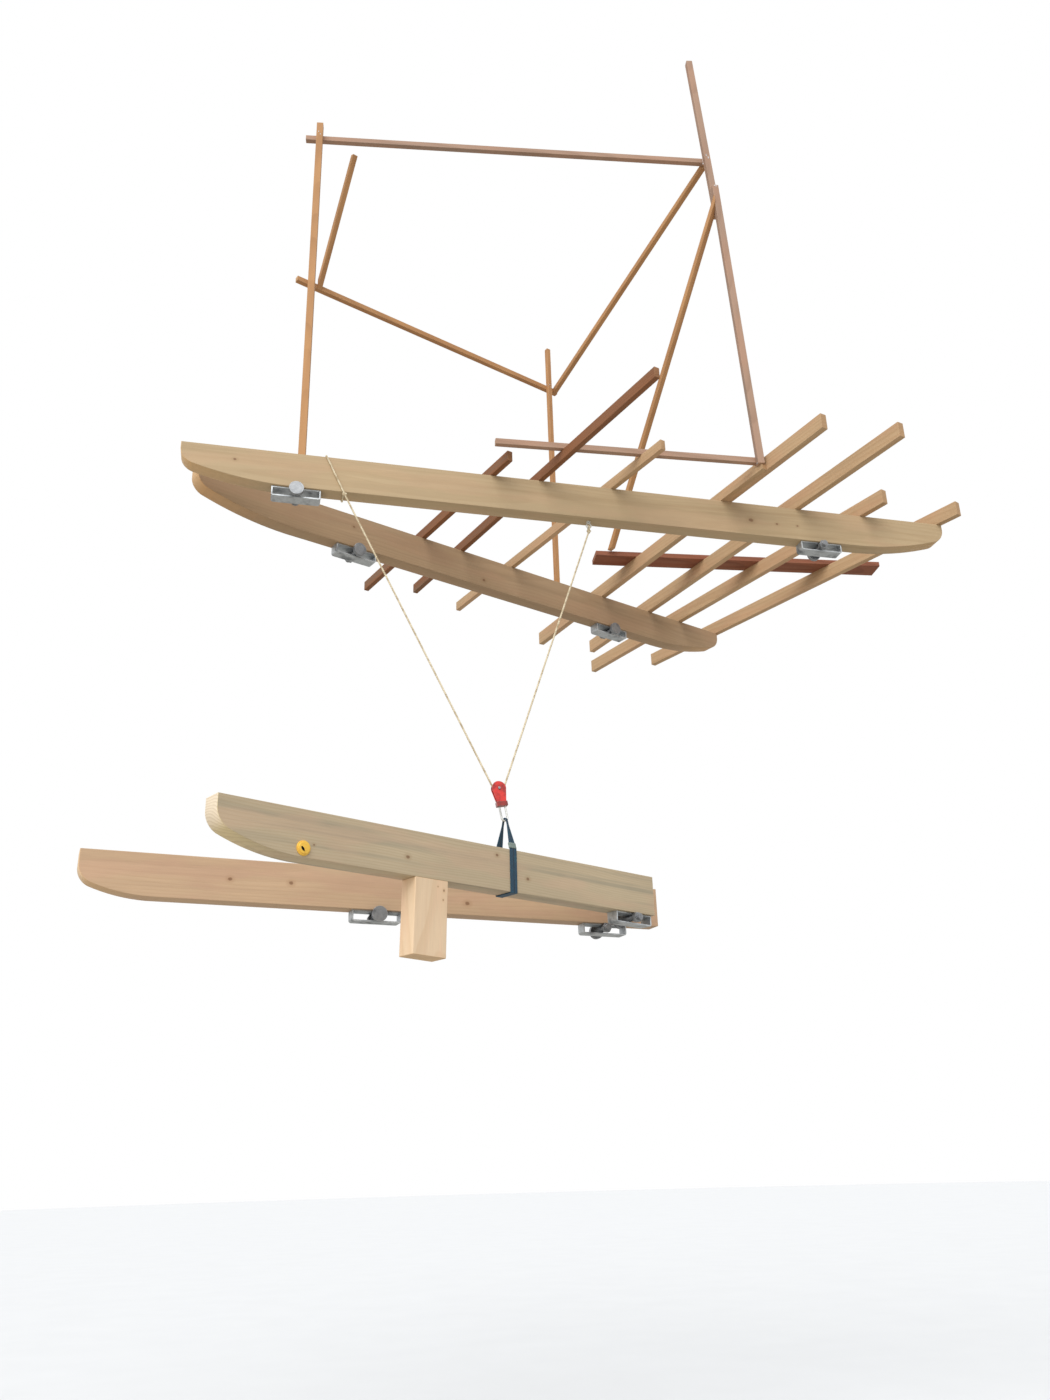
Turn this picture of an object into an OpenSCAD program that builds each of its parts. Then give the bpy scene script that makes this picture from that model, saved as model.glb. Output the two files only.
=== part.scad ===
// Tree house timber frame on two levels, as it stands while it is being built.
// Two pairs of beams hang on tree bolts, joists lie on the upper pair, and
// light poles mark out the corners and the roof of the cabin to come.
// X runs along the upper front beam, Y goes away from the viewer, Z is up.
// The origin lies on the collar of the middle tree's lower bolt.

/* [Beams] */
// Depth of the two upper beams
upper_beam_h = 240; // [180:5:330]
// Width of the two upper beams
upper_beam_w = 105; // [75:5:150]
// Depth of the two lower beams
lower_beam_h = 240; // [180:5:330]
// Width of the two lower beams
lower_beam_w = 120; // [75:5:150]
// Length of the upper front beam
upper_front_len = 5188; // [4700:10:5600]
// Length of the upper rear beam
upper_rear_len = 4554; // [4350:10:4950]
// Length of the lower front beam
lower_front_len = 2934; // [2700:10:3300]
// Length of the lower rear beam
lower_rear_len = 3500; // [3300:10:3900]
// Turn of the upper rear beam in plan
upper_rear_turn = 22.6; // [20:0.1:25]
// Turn of the lower front beam in plan
lower_front_turn = 27.8; // [26:0.1:30]
// Turn of the lower rear beam in plan
lower_rear_turn = 9.5; // [8:0.1:11]
// Height between the undersides of the lower and the upper beams
storey_h = 2500; // [2300:10:2700]
// Radius of the rounded nose of a beam
nose_r = 110; // [80:1:130]
// Length of an upper beam's swept prow
upper_prow_len = 700; // [500:5:900]
// Rise of an upper beam's swept prow
upper_prow_rise = 120; // [80:1:150]
// Length of the lower front beam's swept prow
lower_front_prow_len = 480; // [350:5:600]
// Rise of the lower front beam's swept prow
lower_front_prow_rise = 107; // [80:1:130]
// Length of the lower rear beam's swept prow
lower_rear_prow_len = 400; // [300:5:500]
// Rise of the lower rear beam's swept prow
lower_rear_prow_rise = 89; // [70:1:110]

/* [Joists] */
// Depth of a joist
joist_h = 105; // [75:1:140]
// Thickness of a joist
joist_w = 45; // [30:1:60]
// Depth of the three lighter joists at the left
light_joist_h = 70; // [60:1:90]
// Thickness of the three lighter joists
light_joist_w = 36; // [30:1:45]
// Depth of the short bearer beside the fourth joist
bearer_h = 40; // [30:1:60]
// Thickness of the short bearer
bearer_w = 36; // [24:1:45]
// Length of the short bearer
bearer_len = 560; // [450:5:700]
// Length of the first joist
joist_1_len = 2060; // [1850:10:2260]
// How far the first joist stands out in front of the upper front beam
joist_1_out = 204; // [142:1:265]
// Length of the second joist
joist_2_len = 3040; // [2730:10:3340]
// How far the second joist stands out in front of the upper front beam
joist_2_out = 1230; // [861:1:1599]
// Length of the third joist
joist_3_len = 2600; // [2340:10:2860]
// How far the third joist stands out in front of the upper front beam
joist_3_out = 528; // [370:1:680]
// Length of the fourth joist
joist_4_len = 3500; // [3150:10:3850]
// How far the fourth joist stands out in front of the upper front beam
joist_4_out = 942; // [659:1:1224]
// Length of the fifth joist
joist_5_len = 3600; // [3240:10:3960]
// How far the fifth joist stands out in front of the upper front beam
joist_5_out = 960; // [672:1:1248]
// Length of the sixth joist
joist_6_len = 3350; // [3010:10:3680]
// How far the sixth joist stands out in front of the upper front beam
joist_6_out = 210; // [147:1:273]
// Length of the seventh joist
joist_7_len = 3130; // [2810:10:3440]
// How far the seventh joist stands out in front of the upper front beam
joist_7_out = 172; // [120:1:223]

/* [Cabin outline] */
// Side of a corner pole
pole_w = 45; // [30:1:60]
// Side of the square poles on the upper rear beam
rear_pole_w = 34; // [28:1:45]
// Depth of a batten
batten_h = 40; // [30:1:50]
// Thickness of a batten
batten_w = 36; // [24:1:48]
// Height of the front batten above the joists
front_plate_z = 2605; // [2400:5:2700]
// Height of the rear batten above the joists
rear_plate_z = 1732; // [1500:1:1900]
// Height where the raking brace meets the corner pole
brace_z = 2100; // [1900:10:2200]
// Top of the lower length of the front right pole above the joists
splice_top = 2300; // [2150:10:2450]
// Lap of the two lengths of the front right pole
splice_lap = 240; // [150:10:250]
// Top of the upper length of the front right pole above the joists
pole_top = 3600; // [3300:10:3800]
// Lean of the lower length of the front right pole
pole_lean = 2.3; // [0:0.1:3]
// Lean of the upper length of the front right pole
pole_top_lean = 3.3; // [2:0.1:5]

/* [Plank] */
// Width of the rear plank
plank_w = 155; // [120:1:200]
// Thickness of the rear plank
plank_t = 38; // [24:1:45]
// Length of the rear plank
plank_len = 2240; // [2000:10:2600]
// Turn of the rear plank in plan
plank_turn = -6.3; // [-8:0.1:-5]

/* [Tree bolts] */
// Diameter of a tree bolt
bolt_d = 38; // [30:1:45]
// Diameter of the collar that bears on the trunk
collar_d = 90; // [75:1:110]
// Thickness of the collar
collar_t = 25; // [15:1:35]
// Gap between beam side and collar
collar_gap = 15; // [5:1:30]
// Length of a bracket along the beam
bracket_len = 300; // [240:5:360]
// Width of a bracket across the beam
bracket_w = 80; // [60:1:100]
// Thickness of the bracket steel
bracket_t = 9; // [6:1:12]
// Clear height of the slot in a bracket
slot_h = 48; // [42:1:60]
// Outer corner radius of a bracket
bracket_r = 16; // [13:1:20]
// Width of the nut across its flats
nut_af = 55; // [50:1:65]
// Thickness of the nut
nut_t = 28; // [20:1:35]

/* [Hoist] */
// Distance of the lifting sling from the left end of the lower front beam
sling_at = 1792; // [1600:1:2000]
// Width of the webbing
sling_w = 48; // [30:1:60]
// Width of the webbing where it is bunched over the bow
sling_top_w = 13; // [10:1:13]
// Thickness of the webbing
sling_t = 6; // [4:1:8]
// Height of the bow above the lower front beam
sling_rise = 181; // [150:1:220]
// Diameter of the shackle's bar
shackle_d = 11; // [9:1:11]
// Half the distance between the legs of the shackle
bow_r = 17; // [17:1:19]
// Length of the shackle from its bow to the crosshead of the pulley block
shackle_len = 86; // [70:1:100]
// Width of the pulley block's crosshead
crosshead_w = 64; // [60:1:76]
// Thickness of a cheek of the pulley block
cheek_t = 5; // [4:1:8]
// Clear width between the cheeks
cheek_gap = 20; // [20:1:26]
// Radius of a cheek round the axle
cheek_top_r = 41.5; // [38:0.5:46]
// Radius of a cheek at its foot
cheek_foot_r = 28; // [24:1:32]
// Height of the crosshead that the shackle goes through
crosshead_h = 26; // [18:1:30]
// Distance of the sheave's axle above the crosshead
axle_up = 81; // [75:1:100]
// Radius of the rope's line round the sheave
sheave_r = 28; // [24:1:32]
// Lean of the pulley block to the left
block_lean = 10; // [6:0.5:12]
// Diameter of the hoist rope
rope_d = 12; // [10:1:14]
// Distance of the rope's left end from the left end of the upper front beam
rope_left_at = 987; // [900:1:1100]
// Lean of the rope's turn round the upper front beam
loop_lean = 24.6; // [20:0.1:28]
// Distance of the rope's eye from the left end of the upper front beam
hoist_eye_at = 2582; // [2450:1:2700]
// Wire of the rope's eye
eye_d = 9; // [7:1:10]
// Radius of the rope's eye, to the middle of its wire
eye_r = 16; // [15:1:20]

/* [Prop block] */
// Distance of the block's left side from the left end of the lower front beam
block_at = 1127; // [950:1:1400]
// Length of the block along the beam
block_len = 210; // [150:5:260]
// Height of the block
block_h = 400; // [350:5:480]
// Lean of the block to the left at its foot
prop_lean = 1.8; // [0:0.1:3]

/* [Plug] */
// Distance of the yellow plug from the left end of the lower front beam
plug_at = 461; // [400:1:520]
// Height of the yellow plug above the beam's underside
plug_up = 45; // [40:1:60]
// Diameter of the yellow plug
plug_d = 76; // [60:1:90]
// Thickness of the yellow plug
plug_t = 14; // [10:1:18]

/* [Hidden] */
// Clearance where a round piece lies on a flat one
seat_gap = 0.3;
// Fit of rope and webbing on the timber
wrap_gap = 0.3;
// Underside of the lower beams above the bolt axis
low_z = bolt_d / 2 + seat_gap + bracket_t;
up_z = low_z + storey_h;
deck_z = up_z + upper_beam_h;
joist_z = deck_z + joist_h;
low_top = low_z + lower_beam_h;
// Left ends of the beams on the near face, in plan
upper_front_at = [-2742, -856];
upper_rear_at = [-2645.5, -616.3];
lower_front_at = [-2338, -1786];
// The lower rear beam is set out from the middle tree's bolt
lower_rear_bolt_s = 3128;
lower_rear_off = lower_beam_w + collar_gap + collar_t;
lower_rear_at = [
    -lower_rear_bolt_s * cos(lower_rear_turn) + lower_rear_off * sin(lower_rear_turn),
    -lower_rear_bolt_s * sin(lower_rear_turn) - lower_rear_off * cos(lower_rear_turn)];
// Joists: place on the near face of the front beam, turn, overhang in front, length
joists = [
    [-820, 19.8, joist_1_out, joist_1_len],
    [-502, 18.4, joist_2_out, joist_2_len],
    [-10, 19.2, joist_3_out, joist_3_len],
    [807, 15.5, joist_4_out, joist_4_len],
    [1317, 15.8, joist_5_out, joist_5_len],
    [1807, 19.9, joist_6_out, joist_6_len],
    [2407, 23.5, joist_7_out, joist_7_len]];
// Where each bracket sits along its beam
upper_front_left_s = 700;
upper_front_right_s = 4230;
upper_rear_left_s = 1134;
upper_rear_right_s = 3384;
lower_rear_left_s = 1650;
lower_front_right_s = 2770;
front_y = upper_front_at[1];
sill_len = 1740;
left_pole_s = 727;
rear_pole_s = 2884;
rear_left_pole_s = 714;
sill_turn = -4.1;
// The right pole stands in front of the front beam
right_pole_out = 379;
pole_gap = 0.6;
right_roof_run = 1905;
left_roof_run = 500;
// The roof battens stand a little to the right of the rear poles
roof_off = 40;
brace_at = [331, 140];
// Past every piece, for the cuts that trim one piece to another
far = 6000;
$fn = 64;

// A prow in side view: what is cut from the lower corner at x = 0. A long sweep
// rises from the underside at x = len and runs into the round nose.
module prow_cut(h, len, rise) {
    sweep = (len * len + rise * rise) / (2 * rise);
    s = [len, sweep - 0.5];
    nose_x = nose_r - 0.3;
    c = [nose_x, s[1] - sqrt(pow(sweep - nose_r + 0.3, 2) - pow(len - nose_x, 2))];
    out = c + 2 * nose_r * (c - s) / norm(c - s);
    difference() {
        translate([-20, -20]) square([len + 20, rise + 40]);
        translate(s) circle(sweep, $fn = 720);
    }
    difference() {
        polygon([[-20, c[1]], c, out, [-20, out[1]]]);
        translate(c) circle(nose_r);
    }
}

// A beam along X, near face on y = 0, with a prow at the left and perhaps the right
module beam(len, w, h, prow_len, prow_rise, right_prow) {
    translate([0, w, 0]) rotate([90, 0, 0]) linear_extrude(w) difference() {
        square([len, h]);
        prow_cut(h, prow_len, prow_rise);
        if (right_prow) translate([len, 0]) mirror([1, 0]) prow_cut(h, prow_len, prow_rise);
    }
}

// Frames of the four beams: along the beam, across it, up from its underside
module on_upper_front() { translate([upper_front_at[0], upper_front_at[1], up_z]) children(); }
module on_upper_rear() {
    translate([upper_rear_at[0], upper_rear_at[1], up_z]) rotate(upper_rear_turn) children();
}
module on_lower_front() {
    translate([lower_front_at[0], lower_front_at[1], low_z]) rotate(lower_front_turn) children();
}
module on_lower_rear() {
    translate([lower_rear_at[0], lower_rear_at[1], low_z]) rotate(lower_rear_turn) children();
}

module lower_front_beam() {
    color("burlywood") on_lower_front()
        beam(lower_front_len, lower_beam_w, lower_beam_h, lower_front_prow_len, lower_front_prow_rise, false);
}
module lower_rear_beam() {
    color("burlywood") on_lower_rear()
        beam(lower_rear_len, lower_beam_w, lower_beam_h, lower_rear_prow_len, lower_rear_prow_rise, false);
}
module upper_front_beam() {
    color("burlywood") on_upper_front()
        beam(upper_front_len, upper_beam_w, upper_beam_h, upper_prow_len, upper_prow_rise, true);
}
module upper_rear_beam() {
    color("burlywood") on_upper_rear()
        beam(upper_rear_len, upper_beam_w, upper_beam_h, upper_prow_len, upper_prow_rise, true);
}

// Frame of a joist: x across it, y along it from its near end, z from its underside
module on_joist(i) {
    j = joists[i];
    translate([j[0], front_y, deck_z]) rotate(j[1]) translate([0, -j[2], 0]) children();
}
module joist(i) {
    light = i < 3;
    color("peru") on_joist(i)
        cube([light ? light_joist_w : joist_w, joists[i][3], light ? light_joist_h : joist_h]);
}
module joist_1() { joist(0); }
module joist_2() { joist(1); }
module joist_3() { joist(2); }
module joist_4() { joist(3); }
module joist_5() { joist(4); }
module joist_6() { joist(5); }
module joist_7() { joist(6); }

// The short bearer lies against the left side of the fourth joist
bearer_tip = 520;
module short_bearer() {
    color("burlywood") on_joist(3) translate([-bearer_w, bearer_tip, 0]) cube([bearer_w, bearer_len, bearer_h]);
}

module rear_plank() {
    color("sienna") translate([214, 202, joist_z]) rotate(plank_turn) cube([plank_len, plank_w, plank_t]);
}

// The front poles: the left one stands on the front beam, the right one on the
// bearer against the fourth joist. The front top batten runs behind both.
left_pole_rear = [upper_front_at[0] + left_pole_s, front_y + upper_beam_w / 2 + pole_w / 2];
right_pole_y = front_y - right_pole_out;
right_pole_rear = [joists[3][0] + right_pole_out * tan(joists[3][1]) - pole_w / 2 - pole_gap, right_pole_y];
plate_turn = atan2(left_pole_rear[1] - right_pole_rear[1] - pole_w, left_pole_rear[0] - right_pole_rear[0]) - 180;
module on_pole() {
    translate([right_pole_rear[0], right_pole_rear[1], deck_z + bearer_h]) rotate(plate_turn) children();
}
module front_right_pole() {
    color("peru") on_pole() intersection() {
        rotate([0, -pole_lean, 0]) translate([-pole_w / 2, -pole_w, -50])
            cube([pole_w, pole_w, 2 * splice_top]);
        translate([-500, -500, 0]) cube([1000, 1000, splice_top + joist_h - bearer_h]);
    }
}
splice_base = splice_top - splice_lap;
module on_pole_top() {
    on_pole() translate([-splice_base * tan(pole_lean), 0, splice_base + joist_h - bearer_h])
        rotate([0, -pole_top_lean, 0]) children();
}
module front_right_pole_top() {
    color("peru") on_pole_top() translate([-pole_w / 2, 0, 0])
        cube([pole_w, pole_w, (pole_top - splice_base) / cos(pole_top_lean)]);
}
module front_left_pole() {
    color("peru") translate([left_pole_rear[0], left_pole_rear[1], deck_z])
        rotate(plate_turn) translate([-pole_w / 2, -pole_w, 0])
            cube([pole_w, pole_w, front_plate_z + joist_h + 120]);
}

// Frame of the front top batten: its front face on y = 0, its underside on z = 0
module on_plate() {
    translate([left_pole_rear[0], left_pole_rear[1], joist_z + front_plate_z]) rotate(plate_turn) children();
}
// Its right end butts on the upper length of the right pole
module front_top_batten() {
    color("peru") intersection() {
        on_plate() translate([-100, 0, 0])
            cube([right_pole_rear[0] - left_pole_rear[0] + 60, batten_w, batten_h]);
        on_pole_top() translate([-far - pole_w / 2, -far / 2, -far / 2]) cube(far);
    }
}
module behind_plate() {
    on_plate() translate([-far / 2, batten_w, -far]) cube([2 * far, far, 2 * far]);
}

// Front sill batten on the joists, its right end behind the right pole
sill_at = right_pole_rear + [-pole_w / 2, pole_w / 2 * sin(-plate_turn) + 0.8];
module on_sill() { translate([sill_at[0], sill_at[1], deck_z + light_joist_h]) rotate(sill_turn) children(); }
module front_sill_batten() {
    color("peru") on_sill() translate([28 - sill_len, 0, 0]) cube([sill_len, batten_w, batten_h]);
}

module rear_pole(s, h) {
    on_upper_rear() translate([s - rear_pole_w / 2, upper_beam_w / 2 - rear_pole_w / 2, upper_beam_h])
        cube([rear_pole_w, rear_pole_w, h]);
}
module rear_right_pole() { color("peru") rear_pole(rear_pole_s, joist_h + rear_plate_z + 400); }
module rear_left_pole() { color("peru") rear_pole(rear_left_pole_s, joist_h + rear_plate_z + 120); }

module rear_top_batten() {
    color("peru") on_upper_rear()
        translate([rear_left_pole_s - 100, upper_beam_w / 2 + rear_pole_w / 2, upper_beam_h + joist_h + rear_plate_z])
            cube([rear_pole_s - rear_left_pole_s + 200, batten_w, batten_h]);
}

// A roof batten beside a rear pole, its lower end on the rear top batten,
// its upper end cut to the back of the front top batten
module roof_batten(s, run) {
    a = atan((front_plate_z - rear_plate_z) / run);
    intersection() {
        on_upper_rear()
            translate([s + rear_pole_w / 2 + roof_off, upper_beam_w / 2 + rear_pole_w / 2,
                upper_beam_h + joist_h + rear_plate_z])
                intersection() {
                    rotate([-a, 0, 0]) translate([0, -2 * run, 0]) cube([batten_w, 2.2 * run, batten_h]);
                    translate([-far / 2, -2 * run, -far / 2]) cube([far, 2 * run, far]);
                }
        behind_plate();
    }
}
module right_roof_batten() { color("peru") roof_batten(rear_pole_s, right_roof_run); }
module left_roof_batten() { color("peru") roof_batten(rear_left_pole_s, left_roof_run); }

// The raking brace runs from the plank up to the left face of the front right
// pole's lower length, and its upper end is cut to that face
brace_up = brace_z + joist_h - bearer_h;
brace_head = right_pole_rear
    + (-pole_w / 2 / cos(pole_lean) - brace_up * tan(pole_lean)) * [cos(plate_turn), sin(plate_turn)]
    - pole_w / 2 * [-sin(plate_turn), cos(plate_turn)];
brace_way = brace_head - brace_at;
brace_turn = atan2(brace_way[1], brace_way[0]) + 90;
brace_run = norm(brace_way);
module raking_brace() {
    a = atan((brace_z - plank_t) / brace_run);
    color("peru") intersection() {
        translate([brace_at[0], brace_at[1], joist_z + plank_t]) rotate(brace_turn) intersection() {
            rotate([-a, 0, 0]) translate([-batten_w / 2, -2 * far / 3, 0]) cube([batten_w, far, batten_h]);
            translate([-far / 2, -2 * brace_run, 0]) cube([far, 3 * brace_run, far]);
        }
        on_pole() rotate([0, -pole_lean, 0]) translate([-far - pole_w / 2, -far / 2, -far / 2]) cube(far);
    }
}

// A bracket hangs under a beam: x along the beam, centred, y across it
module bracket() {
    h = slot_h + 2 * bracket_t;
    ri = bracket_r - bracket_t;
    translate([0, bracket_w / 2, 0]) rotate([90, 0, 0]) linear_extrude(bracket_w) difference() {
        translate([-bracket_len / 2, -h]) union() {
            translate([0, bracket_r]) square([bracket_len, h - bracket_r]);
            translate([bracket_r, 0]) square([bracket_len - 2 * bracket_r, h]);
            translate([bracket_r, bracket_r]) circle(bracket_r);
            translate([bracket_len - bracket_r, bracket_r]) circle(bracket_r);
        }
        translate([-bracket_len / 2 + bracket_t, -bracket_t - slot_h])
            square([bracket_len - 2 * bracket_t, slot_h]);
    }
}

// A tree bolt through the bracket, its collar on the side that dir gives
module tree_bolt(w, dir) {
    reach = w / 2 + collar_gap;
    near = bracket_w / 2 + 6;
    translate([0, 0, -bracket_t - seat_gap - bolt_d / 2]) rotate([dir > 0 ? -90 : 90, 0, 0]) {
        translate([0, 0, -near - nut_t - 20]) cylinder(d = bolt_d, h = near + nut_t + 20 + reach + collar_t / 2);
        translate([0, 0, reach]) cylinder(d = collar_d, h = collar_t);
        translate([0, 0, -near - nut_t]) cylinder(d = nut_af / cos(30), h = nut_t, $fn = 6);
    }
}

module at_bracket(beam_id, s) {
    if (beam_id == 0) on_upper_front() translate([s, upper_beam_w / 2, 0]) children();
    if (beam_id == 1) on_upper_rear() translate([s, upper_beam_w / 2, 0]) children();
    if (beam_id == 2) on_lower_front() translate([s, lower_beam_w / 2, 0]) children();
    if (beam_id == 3) on_lower_rear() translate([s, lower_beam_w / 2, 0]) children();
}

module bracket_upper_front_left() { color("silver") at_bracket(0, upper_front_left_s) bracket(); }
module bracket_upper_front_right() { color("silver") at_bracket(0, upper_front_right_s) bracket(); }
module bracket_upper_rear_left() { color("silver") at_bracket(1, upper_rear_left_s) bracket(); }
module bracket_upper_rear_right() { color("silver") at_bracket(1, upper_rear_right_s) bracket(); }
module bracket_lower_rear_left() { color("silver") at_bracket(3, lower_rear_left_s) bracket(); }
module bracket_lower_rear_middle() { color("silver") at_bracket(3, lower_rear_bolt_s) bracket(); }
module bracket_lower_front_right() { color("silver") at_bracket(2, lower_front_right_s) bracket(); }

module bolt_upper_front_left() { color("gray") at_bracket(0, upper_front_left_s) tree_bolt(upper_beam_w, -1); }
module bolt_upper_front_right() { color("gray") at_bracket(0, upper_front_right_s) tree_bolt(upper_beam_w, 1); }
module bolt_upper_rear_left() { color("gray") at_bracket(1, upper_rear_left_s) tree_bolt(upper_beam_w, -1); }
module bolt_upper_rear_right() { color("gray") at_bracket(1, upper_rear_right_s) tree_bolt(upper_beam_w, -1); }
module bolt_lower_rear_left() { color("gray") at_bracket(3, lower_rear_left_s) tree_bolt(lower_beam_w, -1); }
module bolt_lower_rear_middle() { color("gray") at_bracket(3, lower_rear_bolt_s) tree_bolt(lower_beam_w, 1); }
module bolt_lower_front_right() { color("gray") at_bracket(2, lower_front_right_s) tree_bolt(lower_beam_w, 1); }

// Hoist: webbing round the lower front beam, a shackle, a pulley block, and one
// rope from a turn round the upper front beam, under the sheave, up to an eye
g = wrap_gap + rope_d / 2;
bow_z = lower_beam_h + sling_rise;
sling_r = shackle_d / 2 + 5.2;
module on_sling() {
    on_lower_front() translate([sling_at, lower_beam_w / 2, 0]) children();
}

// The loop of webbing in its own plane: round the beam and over the bow
module loop_2d(out) {
    hw = lower_beam_w / 2 + wrap_gap + out;
    r = sling_r + out;
    a = atan((hw - r) / sling_rise);
    translate([-hw, -wrap_gap - out]) square([2 * hw, lower_beam_h + wrap_gap + out]);
    polygon([[-hw, lower_beam_h], [hw, lower_beam_h], [r * cos(a), bow_z + r * sin(a)],
        [-r * cos(a), bow_z + r * sin(a)]]);
    translate([0, bow_z]) circle(r);
}
module lifting_sling() {
    b = sling_w / 2;
    t = sling_top_w / 2;
    color("steelblue") on_sling() intersection() {
        translate([-b, 0, 0]) rotate([90, 0, 90]) linear_extrude(sling_w) difference() {
            loop_2d(sling_t);
            loop_2d(0);
        }
        translate([0, lower_beam_w, 0]) rotate([90, 0, 0]) linear_extrude(2 * lower_beam_w)
            polygon([[-b - 1, -2 * sling_t], [b + 1, -2 * sling_t], [b + 1, lower_beam_h + 10],
                [t, bow_z - 30], [t, bow_z + 2 * sling_r], [-t, bow_z + 2 * sling_r],
                [-t, bow_z - 30], [-b - 1, lower_beam_h + 10]]);
    }
}

// Three points of the rope: the bow of the shackle, the knot at the left, the knot at the right
bow_at = [
    lower_front_at[0] + sling_at * cos(lower_front_turn) - lower_beam_w / 2 * sin(lower_front_turn),
    lower_front_at[1] + sling_at * sin(lower_front_turn) + lower_beam_w / 2 * cos(lower_front_turn),
    low_z + bow_z];
loop_at = [upper_front_at[0] + rope_left_at, front_y - g, up_z - g];
knot_r = 1.35 * rope_d;
left_knot = loop_at + [0.9 * knot_r * sin(loop_lean), 2, -0.9 * knot_r * cos(loop_lean)];
eye_at = [upper_front_at[0] + hoist_eye_at, front_y + upper_beam_w / 2, up_z - eye_r - 14];
bight_r = 16;
bight_z = -eye_r + eye_d / 2 + g - bight_r;
right_knot = eye_at + [0, 0, bight_z - bight_r - rope_d / 2];

// The plane of the hoist holds those three points
across = cross(left_knot - bow_at, right_knot - bow_at) / norm(cross(left_knot - bow_at, right_knot - bow_at));
hoist_tip = asin(across[2]);
hoist_turn = atan2(-across[0], across[1]);
hoist_x = [cos(hoist_turn), sin(hoist_turn), 0];
hoist_z = [sin(hoist_turn) * sin(hoist_tip), -cos(hoist_turn) * sin(hoist_tip), cos(hoist_tip)];
module on_hoist() {
    translate(bow_at) rotate([0, 0, hoist_turn]) rotate([hoist_tip, 0, 0]) children();
}
module on_block() { on_hoist() rotate([0, -block_lean, 0]) children(); }

// The shackle is a U of round bar, its legs through the crosshead, with a nut on each
module sling_shackle() {
    nut = 1.6 * shackle_d;
    color("silver") on_block() {
        for (x = [-bow_r, bow_r]) {
            translate([x, 0, bow_r]) cylinder(d = shackle_d, h = shackle_len + crosshead_h + 12 - bow_r);
            translate([x, 0, shackle_len + crosshead_h]) cylinder(d = nut, h = 8, $fn = 6);
        }
        translate([0, 0, bow_r]) rotate([90, 0, 0]) rotate(180)
            rotate_extrude(angle = 180) translate([bow_r, 0]) circle(d = shackle_d, $fn = 48);
    }
}

// Two cheeks on a crosshead, the sheave between them on its axle
axle_z = shackle_len + crosshead_h + axle_up;
cheek_foot_z = shackle_len + crosshead_h + 8;
module cheek() {
    a = asin((cheek_top_r - cheek_foot_r) / (axle_z - cheek_foot_z));
    top = [cheek_top_r * cos(a) - 0.3, axle_z - cheek_top_r * sin(a)];
    foot = [cheek_foot_r * cos(a) - 0.3, cheek_foot_z - cheek_foot_r * sin(a)];
    linear_extrude(cheek_t) {
        translate([0, axle_z]) circle(cheek_top_r);
        translate([0, cheek_foot_z]) circle(cheek_foot_r);
        polygon([top, foot, [-foot[0], foot[1]], [-top[0], top[1]]]);
    }
}
module pulley_block() {
    inner = cheek_gap / 2;
    outer = inner + cheek_t;
    wheel = inner - 2;
    color("firebrick") on_block() rotate([90, 0, 0]) {
        translate([0, 0, inner]) cheek();
        translate([0, 0, -outer]) cheek();
        difference() {
            translate([-crosshead_w / 2, shackle_len, -outer - 2]) cube([crosshead_w, crosshead_h, 2 * outer + 4]);
            for (x = [-bow_r, bow_r])
                translate([x, shackle_len - 1, 0]) rotate([-90, 0, 0]) cylinder(d = shackle_d + 0.6, h = crosshead_h + 2);
        }
        translate([0, axle_z, -outer - 7]) cylinder(d = 14, h = 2 * outer + 14);
        translate([0, axle_z, 0]) rotate_extrude() difference() {
            translate([0, -wheel]) square([sheave_r + 3, 2 * wheel]);
            translate([sheave_r, 0]) circle(rope_d / 2 + wrap_gap);
        }
    }
}

// The eye's collar bears on the beam's underside
module hoist_eye() {
    color("silver") translate(eye_at) {
        rotate([90, 0, 0]) rotate_extrude() translate([eye_r, 0]) circle(d = eye_d, $fn = 48);
        translate([0, 0, eye_r]) cylinder(d = eye_d - 1, h = 12);
        translate([0, 0, eye_r + 10]) cylinder(d = 3 * eye_d, h = 4);
    }
}

module rod(a, b, d) {
    v = b - a;
    l = norm(v);
    translate(a) rotate([0, acos(v[2] / l), atan2(v[1], v[0])]) cylinder(d = d, h = l);
}
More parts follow.
